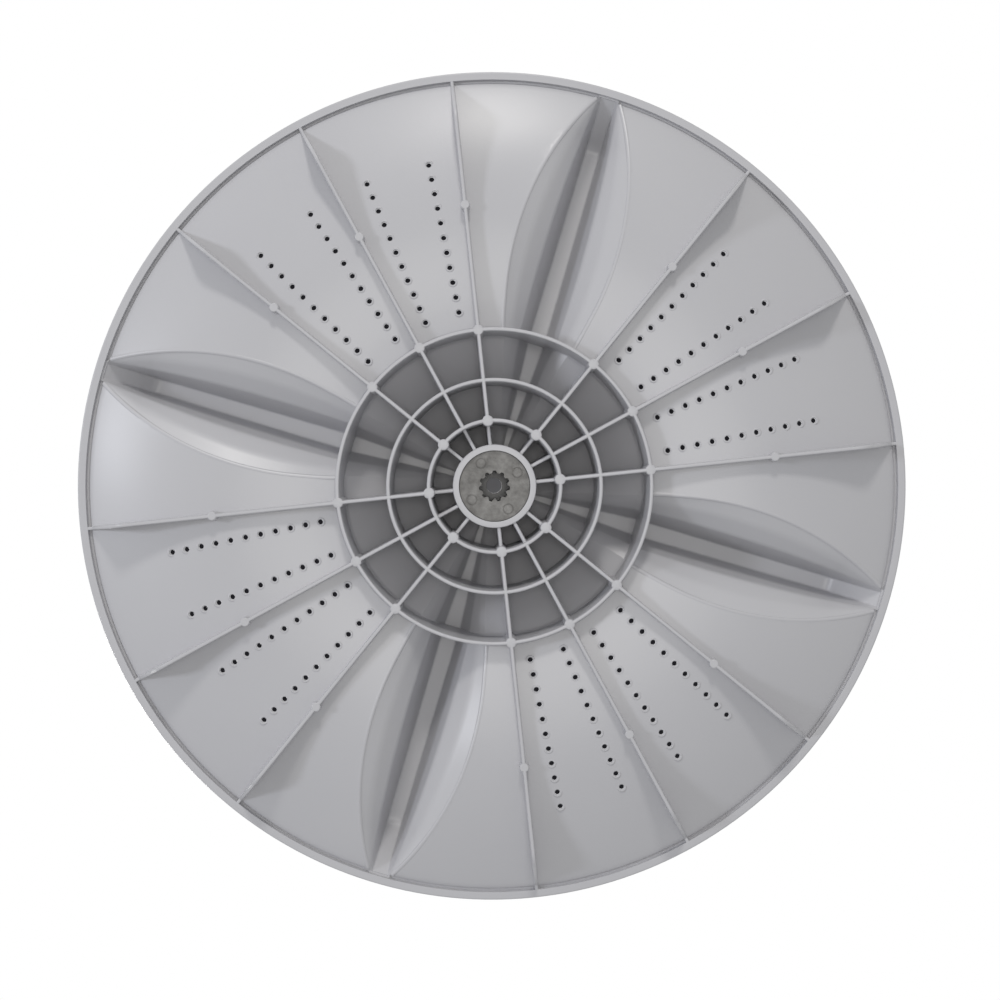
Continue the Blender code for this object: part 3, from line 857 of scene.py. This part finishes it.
def from_photo_angle(azimuth, elevation, distance):
    """A place on the camera's side of the disc, by its direction in the photograph."""
    a, e = math.radians(azimuth), math.radians(elevation)
    flat = distance * math.cos(e)
    return photo_point(flat * math.cos(a), flat * math.sin(a), -distance * math.sin(e))


def make_lamps():
    for name, azimuth, elevation, size, power, colour in LAMPS_BELOW:
        add_lamp(name, from_photo_angle(azimuth, elevation, LAMP_DISTANCE), size, power, colour)
    add_lamp(*LAMP_ABOVE)


def make_world():
    """Soft light for matt surfaces, and plain white for the camera, for mirrored and for transmitted rays."""
    world = bpy.data.worlds.new("studio")
    world.use_nodes = True
    bpy.context.scene.world = world
    tree = world.node_tree
    tree.nodes.clear()
    soft = node(tree, "ShaderNodeBackground", Color=SOFT_COLOUR, Strength=SOFT_LIGHT)
    white = node(tree, "ShaderNodeBackground", Color=(1.0, 1.0, 1.0, 1.0))
    path = tree.nodes.new("ShaderNodeLightPath")
    shown = path.outputs["Is Camera Ray"]
    for ray in ("Is Transmission Ray", "Is Glossy Ray"):
        either = node(tree, "ShaderNodeMath", operation="MAXIMUM")
        tree.links.new(shown, either.inputs[0])
        tree.links.new(path.outputs[ray], either.inputs[1])
        shown = either.outputs[0]
    mix = tree.nodes.new("ShaderNodeMixShader")
    tree.links.new(shown, mix.inputs["Fac"])
    tree.links.new(soft.outputs[0], mix.inputs[1])
    tree.links.new(white.outputs[0], mix.inputs[2])
    out = tree.nodes.new("ShaderNodeOutputWorld")
    tree.links.new(mix.outputs[0], out.inputs["Surface"])


def one_sided(name, colour, roughness, specular, from_above):
    """A material that shows from above or from below and is clear from the other side."""
    material, tree, shader = shaded_material(name)
    shader.inputs["Base Color"].default_value = (*colour, 1.0)
    shader.inputs["Roughness"].default_value = roughness
    shader.inputs["Specular IOR Level"].default_value = specular
    side = tree.nodes.new("ShaderNodeNewGeometry")
    clear = tree.nodes.new("ShaderNodeBsdfTransparent")
    mix = tree.nodes.new("ShaderNodeMixShader")
    front, back = (shader, clear) if from_above else (clear, shader)
    tree.links.new(side.outputs["Backfacing"], mix.inputs["Fac"])
    tree.links.new(front.outputs[0], mix.inputs[1])
    tree.links.new(back.outputs[0], mix.inputs[2])
    tree.links.new(mix.outputs[0], tree.nodes["Material Output"].inputs["Surface"])
    return material


def set_stage(name, verts, faces, material):
    """Stage that the camera sees, and that neither lights nor shades the part nor mirrors in it."""
    mesh = bpy.data.meshes.new(name)
    mesh.from_pydata([tuple(c * MM for c in v) for v in verts], [], faces)
    obj = bpy.data.objects.new(name, mesh)
    bpy.context.scene.collection.objects.link(obj)
    obj.data.materials.append(material)
    obj.visible_diffuse = False
    obj.visible_glossy = False
    obj.visible_transmission = False
    obj.visible_shadow = False


def make_floor():
    """A pale floor that shows only from above, so that it doesn't hide or light the underside."""
    sides = ((-1, -1), (1, -1), (1, 1), (-1, 1))
    corners = [(x * FLOOR_HALF, y * FLOOR_HALF, FLOOR_Z) for x, y in sides]
    material = one_sided("floor", FLOOR_COLOUR, roughness=0.7, specular=0.5, from_above=True)
    set_stage("floor", corners, [(0, 1, 2, 3)], material)


def ring_sector(r_in, r_out, z, start, end):
    """Points and faces of a flat sector, facing up, from one angle to another."""
    verts = []
    for k in range(SHEET_STEPS + 1):
        for r in (r_in, r_out):
            clear = math.asin(SHEET_CLEAR / r) if r_in > 0 else 0.0
            a = start + clear + (end - start - 2 * clear) * k / SHEET_STEPS
            verts.append((r * math.cos(a), r * math.sin(a), z))
    faces = [(2 * k, 2 * k + 1, 2 * k + 3, 2 * k + 2) for k in range(SHEET_STEPS)]
    return verts, faces


def make_sheets():
    """The shade of the surface that the photographed part lies on, seen through its holes from below only.

    The four sheets over the plate stay clear of the vanes, which stand between them.
    """
    hub = one_sided("hub_shade", HUB_SHADE, roughness=1.0, specular=0.0, from_above=False)
    set_stage("shade_hub", *ring_sector(0.0, HUB_SHEET_R, HUB_SHEET_Z, 0.0, math.tau), hub)
    plate = one_sided("plate_shade", PLATE_SHADE, roughness=1.0, specular=0.0, from_above=False)
    for q, angle in enumerate(quarter_turns()):
        end = angle + math.tau / QUADRANTS
        sector = ring_sector(PLATE_SHEET_IN_R, PLATE_SHEET_OUT_R, PLATE_SHEET_Z, angle, end)
        set_stage(f"shade_plate_{q}", *sector, plate)


make_camera()
make_lamps()
make_world()
make_floor()
make_sheets()
bpy.context.scene.view_settings.view_transform = "Standard"
